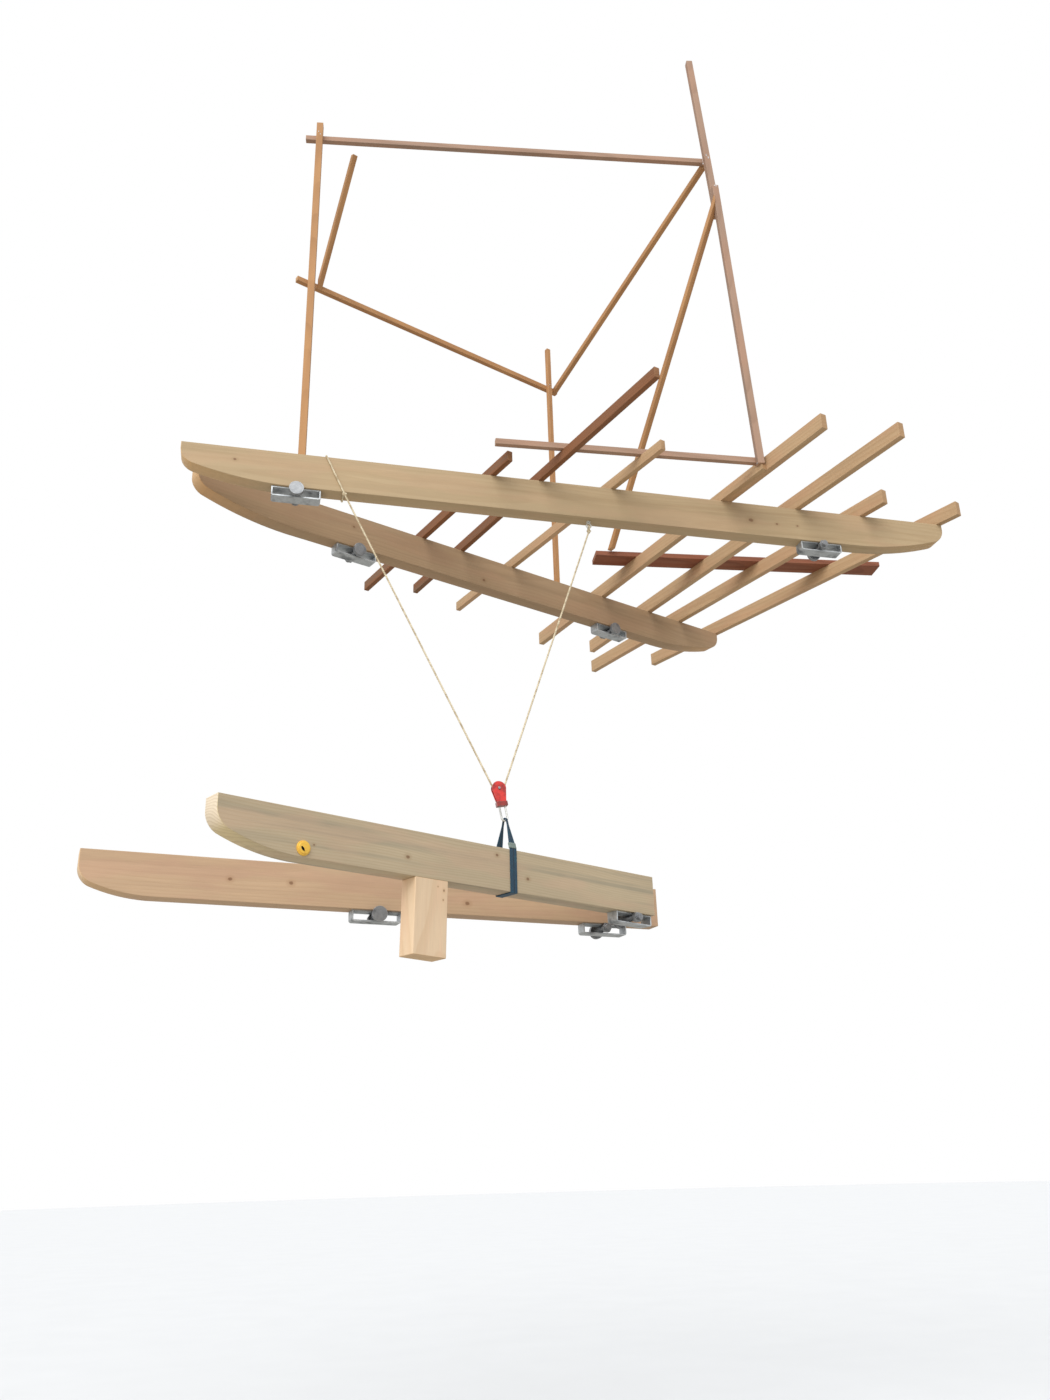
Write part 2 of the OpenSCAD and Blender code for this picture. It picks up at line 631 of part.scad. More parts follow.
// A quarter bend of the rope in the YZ plane, about its own corner
rope_bend = rope_d / 2 + 0.6;
module rope_corner(turn) {
    rotate([turn, 0, 0]) translate([0, rope_bend, rope_bend]) rotate([90, 0, 90]) rotate(180)
        rotate_extrude(angle = 90) translate([rope_bend, 0]) circle(d = rope_d, $fn = 24);
}
module hoist_rope() {
    // The two falls and the sheave in the plane of the hoist
    axle = (shackle_len + crosshead_h + axle_up) * [-sin(block_lean), cos(block_lean)];
    left = [(left_knot - bow_at) * hoist_x, (left_knot - bow_at) * hoist_z] - axle;
    right = [(right_knot - bow_at) * hoist_x, (right_knot - bow_at) * hoist_z] - axle;
    from = atan2(left[1], left[0]) + acos(sheave_r / norm(left));
    to = atan2(right[1], right[0]) - acos(sheave_r / norm(right)) + 360;
    // The turn round the upper front beam, in a plane that leans with the left fall
    w = upper_beam_w + 2 * g;
    h = (upper_beam_h + 2 * g) / cos(loop_lean);
    e = rope_bend;
    color("tan") {
        on_hoist() translate([axle[0], 0, axle[1]]) {
            for (f = [[from, left], [to, right]]) {
                leave = sheave_r * [cos(f[0]), 0, sin(f[0])];
                knot = [f[1][0], 0, f[1][1]];
                way = (knot - leave) / norm(knot - leave);
                rod(leave + 0.4 * way, knot - 8 * way, rope_d);
                translate(leave) sphere(d = rope_d + 0.3, $fn = 24);
            }
            rotate([90, 0, 0]) rotate(from + 0.8) rotate_extrude(angle = to - from - 1.6)
                translate([sheave_r, 0]) circle(d = rope_d, $fn = 24);
        }
        translate(left_knot) rotate([90, 0, 0]) sphere(r = knot_r, $fn = 32);
        translate(loop_at) rotate([0, -loop_lean, 0]) {
            rod([0, e, 0], [0, w - e, 0], rope_d);
            rod([0, w, e], [0, w, h - e], rope_d);
            rod([0, e, h], [0, w - e, h], rope_d);
            rod([0, 0, e], [0, 0, h - e], rope_d);
            rope_corner(0);
            translate([0, w, 0]) rope_corner(90);
            translate([0, w, h]) rope_corner(180);
            translate([0, 0, h]) rope_corner(270);
        }
        translate(right_knot) sphere(r = knot_r, $fn = 32);
        translate(eye_at + [0, 0, bight_z]) rotate([90, 0, 90])
            rotate_extrude() translate([bight_r, 0]) circle(d = rope_d, $fn = 24);
    }
}

// The block leans a little, and its top is cut flush to the beam's underside
module prop_block() {
    color("wheat") on_lower_front() intersection() {
        translate([block_at + block_len / 2, 0, 0]) rotate([0, prop_lean, 0])
            translate([-block_len / 2, 0, -block_h]) cube([block_len, lower_beam_w, block_h + 60]);
        translate([0, -10, -2 * block_h]) cube([lower_front_len, 2 * lower_beam_w, 2 * block_h]);
    }
}

// A yellow plug on the near face of the lower front beam, with a slot for a key
module beam_plug() {
    color("gold") on_lower_front() translate([plug_at, 0, plug_up]) rotate([90, 0, 0]) difference() {
        union() {
            cylinder(d = plug_d, h = plug_t / 2);
            cylinder(d = 0.8 * plug_d, h = plug_t);
        }
        rotate(60) translate([-9, -3, plug_t / 2]) cube([18, 6, plug_t]);
    }
}

lower_front_beam();
lower_rear_beam();
upper_front_beam();
upper_rear_beam();
joist_1();
joist_2();
joist_3();
joist_4();
joist_5();
joist_6();
joist_7();
short_bearer();
rear_plank();
front_sill_batten();
front_right_pole();
front_right_pole_top();
front_left_pole();
rear_right_pole();
rear_left_pole();
front_top_batten();
rear_top_batten();
right_roof_batten();
left_roof_batten();
raking_brace();
bracket_upper_front_left();
bracket_upper_front_right();
bracket_upper_rear_left();
bracket_upper_rear_right();
bracket_lower_rear_left();
bracket_lower_rear_middle();
bracket_lower_front_right();
bolt_upper_front_left();
bolt_upper_front_right();
bolt_upper_rear_left();
bolt_upper_rear_right();
bolt_lower_rear_left();
bolt_lower_rear_middle();
bolt_lower_front_right();
lifting_sling();
sling_shackle();
pulley_block();
hoist_eye();
hoist_rope();
prop_block();
beam_plug();
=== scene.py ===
"""Timber tree house frame on two levels, hung on tree bolts, with light poles marking out the cabin."""
import math

import bpy
import bmesh
from mathutils import Matrix, Vector


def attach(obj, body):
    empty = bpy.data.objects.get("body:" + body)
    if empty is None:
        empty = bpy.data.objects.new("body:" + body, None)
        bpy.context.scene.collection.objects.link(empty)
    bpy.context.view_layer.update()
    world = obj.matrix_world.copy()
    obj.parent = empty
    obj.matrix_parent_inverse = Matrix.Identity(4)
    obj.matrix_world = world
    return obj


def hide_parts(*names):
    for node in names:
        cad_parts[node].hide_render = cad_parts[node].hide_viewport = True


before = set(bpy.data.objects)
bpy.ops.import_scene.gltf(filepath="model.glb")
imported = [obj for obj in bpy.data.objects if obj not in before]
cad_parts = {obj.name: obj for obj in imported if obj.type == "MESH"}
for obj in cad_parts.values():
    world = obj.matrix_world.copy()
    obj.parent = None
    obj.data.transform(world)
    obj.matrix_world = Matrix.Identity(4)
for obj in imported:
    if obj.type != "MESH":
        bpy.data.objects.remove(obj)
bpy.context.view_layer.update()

# Viewpoint
# The frame is seen from below, from the left and in front of the lower front
# beam, with the camera tipped up and a little out of level.


def added(name, data):
    """A new object at the origin that holds a mesh, a lamp or a camera."""
    thing = bpy.data.objects.new(name, data)
    bpy.context.scene.collection.objects.link(thing)
    return thing


def framed(x_way, y_way, z_way, place):
    """The matrix that lays a thing's axes along three directions and its origin at a place."""
    turned = Matrix((x_way, y_way, z_way)).transposed().to_4x4()
    turned.translation = place
    return turned


eye = Vector((-2.182, -7.017, -1.352))
heading, pitch, roll = math.radians(14.1), math.radians(22.0), math.radians(1.6)
focal_px, picture_height_px = 1145, 1400
film_mm = 36
ahead = Vector((math.sin(heading) * math.cos(pitch), math.cos(heading) * math.cos(pitch), math.sin(pitch)))
level_right = ahead.cross(Vector((0, 0, 1))).normalized()
level_up = level_right.cross(ahead)
right = level_right * math.cos(roll) - level_up * math.sin(roll)
up = level_right * math.sin(roll) + level_up * math.cos(roll)
camera = added("viewpoint", bpy.data.cameras.new("viewpoint"))
camera.matrix_world = framed(right, up, -ahead, eye)
camera.data.sensor_width = film_mm
camera.data.lens = film_mm * focal_px / picture_height_px
camera.data.clip_end = 200
bpy.context.scene.camera = camera

# Beams
# Two pairs of 240 mm deep planed fir beams, each pair opening like a V. Their ends are bandsawn to a long
# prow, with the arrises just eased; the ends and the prow's nose are painted lighter, partly for their end
# grain and partly as painted light from below.


def srgb(r, g, b):
    """A colour as the eye reads it on the piece, as a linear colour."""
    return tuple(((c / 255 + 0.055) / 1.055) ** 2.4 for c in (r, g, b)) + (1,)


def open_group(name, ins, outs):
    """A shader group with inputs, each a (name, type, value), and outputs, each a (name, type)."""
    group = bpy.data.node_groups.new(name, "ShaderNodeTree")
    for label, kind, value in ins:
        socket = group.interface.new_socket(name=label, in_out="INPUT", socket_type="NodeSocket" + kind)
        if value is not None:
            socket.default_value = value
    for label, kind in outs:
        group.interface.new_socket(name=label, in_out="OUTPUT", socket_type="NodeSocket" + kind)
    return group, group.nodes.new("NodeGroupInput").outputs, group.nodes.new("NodeGroupOutput").inputs


def new_material(name):
    """An untouched material and its node tree."""
    material = bpy.data.materials.new(name)
    material.use_nodes = True
    return material, material.node_tree


def put(tree, kind, inputs=(), **settings):
    """A node with its settings made and its inputs set or linked."""
    node = tree.nodes.new("ShaderNode" + kind)
    for key, value in settings.items():
        setattr(node, key, value)
    for key, value in dict(inputs).items():
        if isinstance(value, bpy.types.NodeSocket):
            tree.links.new(value, node.inputs[key])
        else:
            node.inputs[key].default_value = value
    return node


def sums(tree, operation, *values):
    """The result of one Math node."""
    return put(tree, "Math", enumerate(values), operation=operation).outputs[0]


def scaled(tree, vector, scale):
    """A vector with each part multiplied."""
    return put(tree, "VectorMath", {0: vector, 1: scale}, operation="MULTIPLY").outputs[0]


def mottled(tree, vector, scale=1.0, detail=2.0):
    """A cloudy value over a vector."""
    return put(tree, "TexNoise", {"Vector": vector, "Scale": scale, "Detail": detail}).outputs[0]


def swung(tree, noise, span):
    """A noise moved to swing about 0, through a span."""
    return sums(tree, "MULTIPLY", sums(tree, "SUBTRACT", noise, 0.5), span)


def stepped(tree, value, low, high):
    """A soft step of a value from 0 at low to 1 at high."""
    return put(tree, "MapRange", {0: value, 1: low, 2: high}, interpolation_type="SMOOTHSTEP").outputs[0]


def mixed(tree, amount, first, second, blend="MIX"):
    """Two colours mixed by an amount."""
    return put(tree, "Mix", {0: amount, 6: first, 7: second}, data_type="RGBA", blend_type=blend).outputs[2]


def tinted(tree, colour, mask, strength, tint):
    """A colour taken part of the way to a tint, where a mask is on."""
    return mixed(tree, sums(tree, "MULTIPLY", mask, strength), colour, srgb(*tint))


def shaded(tree, colour, noise, darkest, lightest):
    """A colour made darker and lighter by a noise."""
    shade = put(tree, "MapRange", {0: noise, 1: 0.25, 2: 0.75, 3: darkest, 4: lightest}).outputs[0]
    grey = put(tree, "CombineColor", {0: shade, 1: shade, 2: shade}).outputs[0]
    return mixed(tree, 1.0, colour, grey, "MULTIPLY")


def surfaced(tree, colour, wear, smoothest, roughest, height, strength, depth):
    """Gives the material's shader its colour, a roughness that follows its wear, and its relief."""
    shader = tree.nodes["Principled BSDF"].inputs
    roughness = put(tree, "MapRange", {0: wear, 3: smoothest, 4: roughest})
    tree.links.new(colour, shader["Base Color"])
    tree.links.new(roughness.outputs[0], shader["Roughness"])
    relief = put(tree, "Bump", {"Height": height, "Strength": strength, "Distance": depth})
    tree.links.new(relief.outputs[0], shader["Normal"])
    return shader


# The rings run round the log that a timber was sawn from. Grain is a point's
# place along, across and up the timber, from its own middle.
figure, given, made = open_group(
    "sawn figure",
    [("Grain", "Vector", None), ("Pith", "Vector", (0, 0.03, -0.09)), ("Ring", "Float", 0.008),
     ("Sweep", "Float", 0.03)],
    [("Late wood", "Float"), ("Fibre", "Float"), ("Blotch", "Float"), ("Band", "Float"), ("Patch", "Float"),
     ("Height", "Float")])
grain = given["Grain"]
drawn_out = scaled(figure, grain, (0.012, 1, 1))
from_pith = put(figure, "VectorMath", {0: drawn_out, 1: given["Pith"]}, operation="SUBTRACT").outputs[0]
radius = put(figure, "VectorMath", {0: from_pith}, operation="LENGTH").outputs[1]
waver = swung(figure, mottled(figure, scaled(figure, grain, (0.55, 2.6, 2.6))), given["Sweep"])
ring = sums(figure, "FRACT", sums(figure, "DIVIDE", sums(figure, "ADD", radius, waver), given["Ring"]))
ring_end = sums(figure, "SUBTRACT", 1.0, stepped(figure, ring, 0.93, 1.0))
late = sums(figure, "MULTIPLY", stepped(figure, ring, 0.35, 0.92), ring_end)
fibre = mottled(figure, scaled(figure, grain, (9, 420, 420)), detail=3.0)
height = sums(figure, "ADD", sums(figure, "MULTIPLY", late, 0.25), sums(figure, "MULTIPLY", fibre, 0.5))
for label, value in (("Late wood", late), ("Fibre", fibre), ("Height", height),
                     ("Blotch", mottled(figure, scaled(figure, grain, (1.3, 6, 6)), detail=3.0)),
                     ("Band", mottled(figure, scaled(figure, grain, (0.45, 24, 24)))),
                     ("Patch", mottled(figure, scaled(figure, grain, (1.1, 5.5, 5.5)), scale=1.7))):
    figure.links.new(value, made[label])

knot_group, given, made = open_group(
    "knot", [("Grain", "Vector", None), ("Place", "Vector", None), ("Size", "Float", 0.014)],
    [("Knot", "Float"), ("Swirl", "Float")])
off = put(knot_group, "VectorMath", {0: given["Grain"], 1: given["Place"]}, operation="SUBTRACT").outputs[0]
off = put(knot_group, "VectorMath", {0: scaled(knot_group, off, (0.8, 1, 1))}, operation="LENGTH").outputs[1]
ragged = swung(knot_group, mottled(knot_group, given["Grain"], 90.0), 0.5)
away = sums(knot_group, "ADD", sums(knot_group, "DIVIDE", off, given["Size"]), ragged)
for label, near, far in (("Knot", 0.55, 1.0), ("Swirl", 0.9, 2.6)):
    knot_group.links.new(sums(knot_group, "SUBTRACT", 1.0, stepped(knot_group, away, near, far)), made[label])

worn_edge, given, made = open_group("worn edge", [("Width", "Float", 0.004)], [("Edge", "Float")])
eased = put(worn_edge, "Bevel", {"Radius": given["Width"]}, samples=4).outputs[0]
flat = put(worn_edge, "NewGeometry").outputs["Normal"]
turn = put(worn_edge, "VectorMath", {0: eased, 1: flat}, operation="DOT_PRODUCT").outputs[1]
worn_edge.links.new(stepped(worn_edge, sums(worn_edge, "SUBTRACT", 1.0, turn), 0.01, 0.16), made["Edge"])


def wood(name, pale, dark, streak, patch, end, nose_painted_light=None, pith=(0, 0.03, -0.09), ring=0.008, sweep=0.03,
         contrast=0.3, streaks=0.5, knots=(), sawn=0.0, rough=0.62, worn=(224, 206, 178)):
    """Softwood: colours of its early and late wood, streaks, patches, ends and noses, its rings and knots; on
    the beams the lighter ends and noses are partly painted light from below.
    """
    material, tree = new_material(name)
    grain = put(tree, "Attribute", attribute_name="grain").outputs["Vector"]
    fig = put(tree, "Group", {"Grain": grain, "Pith": pith, "Ring": ring, "Sweep": sweep},
              node_tree=figure).outputs
    colour = tinted(tree, srgb(*pale), fig["Late wood"], contrast, dark)
    colour = tinted(tree, colour, stepped(tree, fig["Band"], 0.48, 0.68), streaks, streak)
    colour = tinted(tree, colour, stepped(tree, fig["Patch"], 0.46, 0.64), 0.45, patch)
    # End faces and the prow's curved nose take their own colours: end grain, and on the beams also painted
    # light, lighter where light from below falls.
    cut = put(tree, "Attribute", attribute_name="cut").outputs["Fac"]
    end_grain_and_painted_light = mixed(tree, stepped(tree, cut, 0.4, 0.95), srgb(*(nose_painted_light or end)), srgb(*end))
    end_grain_and_painted_light = tinted(tree, end_grain_and_painted_light, fig["Late wood"], 0.3, dark)
    colour = mixed(tree, sums(tree, "MULTIPLY", stepped(tree, cut, 0.04, 0.4), 0.85), colour, end_grain_and_painted_light)
    colour = shaded(tree, colour, fig["Blotch"], 0.9, 1.06)
    colour = shaded(tree, colour, fig["Fibre"], 0.93, 1.05)
    for place, size in knots:
        knot = put(tree, "Group", {"Grain": grain, "Place": place, "Size": size},
                   node_tree=knot_group).outputs
        colour = tinted(tree, colour, knot["Swirl"], 0.45, dark)
        colour = tinted(tree, colour, knot["Knot"], 0.7, (112, 76, 48))
    edge = put(tree, "Group", node_tree=worn_edge).outputs["Edge"]
    colour = tinted(tree, colour, edge, 0.3, worn)
    height = fig["Height"]
    if sawn:
        marks = put(tree, "Group", {"Grain": grain}, node_tree=saw_marks).outputs["Height"]
        height = sums(tree, "ADD", height, sums(tree, "MULTIPLY", marks, sawn))
    shader = surfaced(tree, colour, fig["Fibre"], rough - 0.12, rough + 0.14, height, 0.5, 0.0012)
    shader["Specular IOR Level"].default_value = 0.35
    return material


# A timber's grain starts this far along for each step of its number, so that
# no two timbers of one wood share a figure.
grain_apart = 7.3
sticks = {}


def timber(node, material, ease=0.003, number=0):
    """A timber's solid with its arrises eased, and its place, directions and size kept under its name."""
    shape = bmesh.new()
    shape.from_mesh(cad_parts[node].data)
    bmesh.ops.remove_doubles(shape, verts=shape.verts, dist=1e-5)
    bmesh.ops.dissolve_limit(shape, angle_limit=0.004, verts=shape.verts, edges=shape.edges)
    longest = max(shape.edges, key=lambda e: e.calc_length())
    run = (longest.verts[1].co - longest.verts[0].co).normalized()
    if run.x + 0.01 * run.z < 0:
        run = -run
    sides = [f for f in shape.faces if abs(f.normal.dot(run)) < 0.02]
    up_axis = 2 if abs(run.z) < 0.7 else 1
    top = max(sides, key=lambda f: f.calc_area() * abs(f.normal[up_axis])).normal.copy()
    if top[up_axis] <= 0:
        top.negate()
    over = top.cross(run).normalized()
    arrises = [e for e in shape.edges if len(e.link_faces) == 2 and e.calc_face_angle(0) > 0.5]
    bmesh.ops.bevel(shape, geom=arrises, offset=ease, segments=2, profile=0.5, affect="EDGES", material=-1)
    spots = [(v.co.dot(run), v.co.dot(over), v.co.dot(top)) for v in shape.verts]
    low = [min(s[i] for s in spots) for i in range(3)]
    high = [max(s[i] for s in spots) for i in range(3)]
    middle = [(low[i] + high[i]) / 2 for i in range(3)]
    centre = over * middle[1] + top * middle[2]
    sticks[node] = {"start": run * low[0] + centre, "end": run * high[0] + centre, "run": run, "over": over,
                    "top": top, "wide": high[1] - low[1], "deep": high[2] - low[2]}
    grain = shape.verts.layers.float_vector.new("grain")
    cut = shape.faces.layers.float.new("cut")
    for vert, spot in zip(shape.verts, spots):
        vert[grain] = (spot[0] - low[0] + number * grain_apart, spot[1] - middle[1], spot[2] - middle[2])
    for face in shape.faces:
        face[cut] = abs(face.normal.dot(run))
        curved = [e for e in face.edges if len(e.link_faces) == 2 and 0.002 < e.calc_face_angle(0) < 0.35]
        face.smooth = face.calc_area() < 0.004 or any(e.calc_length() > 0.02 for e in curved)
    mesh = bpy.data.meshes.new(node + "_timber")
    shape.to_mesh(mesh)
    shape.free()
    mesh.materials.append(material)
    piece = added(node + "_timber", mesh)
    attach(piece, "root")
    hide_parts(node)


# Knots show on the near faces, 1 mm outside them
lower_wide, upper_wide = 0.12, 0.105
near_lower = -(lower_wide / 2 + 0.001)
near_upper = -(upper_wide / 2 + 0.001)
# Each beam's end and nose colours are painted lighter, partly end grain and partly painted light from below.
timber("lower_front_beam", wood(
    "front tie fir", pale=(188, 170, 140), dark=(166, 142, 110), streak=(154, 144, 122),
    patch=(196, 166, 138), end=(234, 217, 192), nose_painted_light=(212, 194, 150),
    pith=(0, 0.02, -0.34), ring=0.014, sweep=0.16, streaks=0.75,
    knots=[((1.077, near_lower, -0.027), 0.011), ((1.677, near_lower, 0.072), 0.01),
           ((1.9, near_lower, -0.032), 0.011), ((0.52, near_lower, -0.05), 0.006)]))
timber("lower_rear_beam", wood(
    "rear tie fir", pale=(192, 162, 130), dark=(172, 136, 104), streak=(174, 144, 116),
    patch=(188, 150, 124), end=(228, 198, 160), nose_painted_light=(206, 172, 128),
    pith=(0, -0.26, 0.08), ring=0.012, sweep=0.06, contrast=0.2,
    knots=[((0.795, near_lower, 0.004), 0.012), ((1.136, near_lower, 0.004), 0.012),
           ((2.2, near_lower, -0.05), 0.014)]))
timber("upper_front_beam", wood(
    "front floor fir", pale=(184, 160, 124), dark=(164, 136, 100), streak=(168, 142, 106),
    patch=(190, 158, 124), end=(226, 188, 140), nose_painted_light=(216, 176, 124),
    pith=(0, 0.24, -0.05), ring=0.011, sweep=0.05, contrast=0.25,
    knots=[((3.719, near_upper, -0.008), 0.017), ((3.909, near_upper, -0.017), 0.009),
           ((0.323, near_upper, 0.032), 0.01), ((4.06, near_upper, -0.016), 0.008)]))
# The rear floor beam's colours are painted darker as shade.
timber("upper_rear_beam", wood(
    "rear floor fir painted shade", pale=(170, 142, 110), dark=(148, 118, 86), streak=(152, 126, 96),
    patch=(172, 138, 108), end=(222, 180, 130), nose_painted_light=(214, 168, 116),
    pith=(0, 0.2, 0.1), ring=0.012, sweep=0.08, contrast=0.25,
    knots=[((2.164, near_upper, -0.066), 0.012), ((1.1, near_upper, 0.03), 0.009)]))

# Joists
# Sawn joists laid across the upper beams: two of old reddish timber, painted darker as shade, the rest of new
# pale timber, with a short offcut nailed on where the corner pole stands.
saw_marks, given, made = open_group("saw marks", [("Grain", "Vector", None), ("Pitch", "Float", 0.006)],
                                    [("Height", "Float")])
along = put(saw_marks, "SeparateXYZ", {0: given["Grain"]}).outputs[0]
wander = sums(saw_marks, "MULTIPLY", mottled(saw_marks, given["Grain"], 7.0, 1.0), 5.0)
turns = sums(saw_marks, "ADD", sums(saw_marks, "DIVIDE", along, given["Pitch"]), wander)
stroke = sums(saw_marks, "SINE", sums(saw_marks, "MULTIPLY", 2 * math.pi, turns))
strength = sums(saw_marks, "MULTIPLY", mottled(saw_marks, scaled(saw_marks, given["Grain"], (3, 9, 9))), 0.5)
saw_marks.links.new(sums(saw_marks, "MULTIPLY", stroke, strength), made["Height"])

# The red joists' colours are reddish wood, painted darker as shade.
red_joist = wood("red joist painted shade", pale=(136, 90, 58), dark=(98, 60, 36), streak=(124, 100, 78),
                 patch=(142, 90, 54), end=(150, 106, 70), ring=0.006, contrast=0.4, streaks=0.6, sawn=0.3,
                 rough=0.72, worn=(170, 150, 128))
pale_joist = wood("new pale joist", pale=(192, 160, 122), dark=(166, 128, 88), streak=(180, 146, 108),
                  patch=(196, 154, 118), end=(176, 140, 102), pith=(0, 0.05, -0.12), ring=0.007, streaks=0.45,
                  sawn=0.2, rough=0.68)
for number in (1, 2):
    timber(f"joist_{number}", red_joist, ease=0.002, number=number)
for number in range(3, 8):
    timber(f"joist_{number}", pale_joist, ease=0.002, number=number)
timber("short_bearer", pale_joist, ease=0.002, number=8)

# Rear plank
# One rough cedar plank laid flat on the joists behind, darker than the rest
# and fuzzy from the saw.
timber("rear_plank", wood(
    "cedar plank", pale=(140, 86, 62), dark=(100, 56, 40), streak=(150, 102, 78), patch=(146, 84, 58),
    end=(156, 104, 78), pith=(0, 0.02, -0.06), ring=0.006, contrast=0.45, sawn=0.3, rough=0.75,
    worn=(168, 128, 104)), ease=0.002, number=9)

# Poles and battens
# Roofing battens screwed together by hand to mark out the cabin's corners, its
# sill and the fall of its roof.
warm_batten = wood("warm batten", pale=(186, 138, 92), dark=(154, 108, 66), streak=(172, 122, 78),
                   patch=(200, 150, 98), end=(198, 156, 112), ring=0.005, sawn=0.2, rough=0.7)
grey_batten = wood("weathered batten", pale=(172, 140, 118), dark=(138, 108, 88), streak=(152, 132, 118),
                   patch=(180, 138, 112), end=(190, 152, 122), ring=0.005, streaks=0.6, sawn=0.2, rough=0.74)
for number, (node, material) in enumerate([
        ("front_sill_batten", grey_batten), ("front_right_pole", grey_batten),
        ("front_right_pole_top", grey_batten), ("front_left_pole", warm_batten),
        ("front_top_batten", grey_batten), ("rear_right_pole", warm_batten),
        ("rear_left_pole", warm_batten), ("rear_top_batten", warm_batten),
        ("right_roof_batten", warm_batten), ("left_roof_batten", warm_batten),
        ("raking_brace", warm_batten)], start=11):
    timber(node, material, ease=0.0018, number=number)

# Prop block
# A squared offcut stood on end under the lower front beam, its top cut to the
# beam's slope.
block_number = 30
block_foot = block_number * grain_apart
timber("prop_block", wood(
    "pale block", pale=(228, 200, 166), dark=(208, 172, 132), streak=(216, 184, 148), patch=(232, 194, 160),
    end=(214, 180, 138), pith=(0, 0.12, 0.2), ring=0.006, streaks=0.4, rough=0.6,
    knots=[((block_foot + 0.35, 0.08, -0.06), 0.007), ((block_foot + 0.3, 0.076, -0.06), 0.005),
           ((block_foot + 0.365, 0.04, -0.06), 0.004)]), number=block_number)

# Brackets and bolts
# Each beam hangs in a slotted stirrup bent from 9 mm strip and hot-dip
# galvanised, on a 38 mm bolt that can slide along the slot.
spangle, given, made = open_group("zinc spangle", [("Place", "Vector", None)],
                                  [("Flake", "Float"), ("Dull", "Float"), ("Height", "Float")])
flake = put(spangle, "TexVoronoi", {"Vector": given["Place"], "Scale": 90.0}).outputs["Color"]
dull = mottled(spangle, given["Place"], 14.0, 5.0)
pimpled = sums(spangle, "MULTIPLY", mottled(spangle, given["Place"], 160.0, 3.0), 0.4)
spangle.links.new(put(spangle, "SeparateColor", {0: flake}).outputs[0], made["Flake"])
spangle.links.new(dull, made["Dull"])
spangle.links.new(sums(spangle, "ADD", dull, pimpled), made["Height"])


def zinc(name, bright, grey, rough=0.5, threaded=False):
    """Galvanised steel: spangled zinc with a dull bloom, and a screw thread where a piece has one."""
    material, tree = new_material(name)
    place = put(tree, "TexCoord").outputs["Object"]
    coat = put(tree, "Group", {"Place": place}, node_tree=spangle).outputs
    colour = tinted(tree, srgb(*bright), coat["Flake"], 0.35, grey)
    bloom = srgb(*[c * 0.82 for c in grey])
    colour = mixed(tree, stepped(tree, coat["Dull"], 0.45, 0.75), colour, bloom)
    edge = put(tree, "Group", node_tree=worn_edge).outputs["Edge"]
    colour = tinted(tree, colour, edge, 0.4, (226, 228, 230))
    shader = surfaced(tree, colour, coat["Dull"], rough - 0.15, rough + 0.2, coat["Height"], 0.3, 0.0006)
    shader["Metallic"].default_value = 0.85
    if threaded:
        thread_r, half_pitch = 0.0194, 0.002
        spot = put(tree, "Attribute", attribute_name="thread").outputs["Vector"]
        along, out = put(tree, "SeparateXYZ", {0: spot}).outputs[:2]
        on_thread = sums(tree, "LESS_THAN", out, thread_r)
        crest = sums(tree, "MULTIPLY", sums(tree, "PINGPONG", along, half_pitch), on_thread)
        plain = shader["Normal"].links[0].from_socket
        relief = put(tree, "Bump", {"Height": crest, "Normal": plain, "Distance": 1.2})
        tree.links.new(relief.outputs[0], shader["Normal"])
    return material


def dressed(node, material, ease):
    """A steel or webbing piece's solid with its edges rounded off."""
    shape = bmesh.new()
    shape.from_mesh(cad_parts[node].data)
    bmesh.ops.remove_doubles(shape, verts=shape.verts, dist=1e-5)
    bmesh.ops.dissolve_limit(shape, angle_limit=0.01, verts=shape.verts, edges=shape.edges)
    edges = [e for e in shape.edges if len(e.link_faces) == 2 and e.calc_face_angle(0) > 0.6]
    bmesh.ops.bevel(shape, geom=edges, offset=ease, segments=2, profile=0.5, affect="EDGES", material=-1,
                    clamp_overlap=True)
    for face in shape.faces:
        face.smooth = True
    mesh = bpy.data.meshes.new(node + "_finished")
    shape.to_mesh(mesh)
    shape.free()
    mesh.set_sharp_from_angle(angle=0.6)
    mesh.materials.append(material)
    piece = added(node + "_finished", mesh)
    piece.modifiers.new("even faces", "WEIGHTED_NORMAL").keep_sharp = True
    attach(piece, "root")
    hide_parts(node)
    return piece.data


bracket_zinc = zinc("galvanised strip", (196, 200, 202), (150, 154, 158))
bolt_zinc = zinc("tree bolt steel", (150, 152, 154), (112, 114, 118), rough=0.45, threaded=True)
for place in ["upper_front_left", "upper_front_right", "upper_rear_left", "upper_rear_right",
              "lower_rear_left", "lower_rear_middle", "lower_front_right"]:
    dressed("bracket_" + place, bracket_zinc, 0.0015)
    bolt = dressed("bolt_" + place, bolt_zinc, 0.0012)
    level_name, side_name = place.split("_")[:2]
    axis = sticks[f"{level_name}_{side_name}_beam"]["over"]
    spots = [vert.co - axis * vert.co.dot(axis) for vert in bolt.vertices]
    core = Vector([(min(p[i] for p in spots) + max(p[i] for p in spots)) / 2 for i in range(3)])
    thread = bolt.attributes.new("thread", "FLOAT_VECTOR", "POINT")
    for vert, spot in zip(bolt.vertices, spots):
        thread.data[vert.index].vector = (vert.co.dot(axis), (spot - core).length, 0)

# Joint screws
# Two zinc-plated wood screws at each place where battens meet, their flat heads driven flush, with a recess
# for the driver.


def nearest(first, second):
    """The places on two sticks' middles where they come closest."""
    a, b = first["start"], second["start"]
    u, v = first["end"] - a, second["end"] - b
    s, t = 0.5, 0.5
    for _ in range(30):
        s = min(1, max(0, (b + v * t - a).dot(u) / u.dot(u)))
        t = min(1, max(0, (a + u * s - b).dot(v) / v.dot(v)))
    return a + u * s, b + v * t


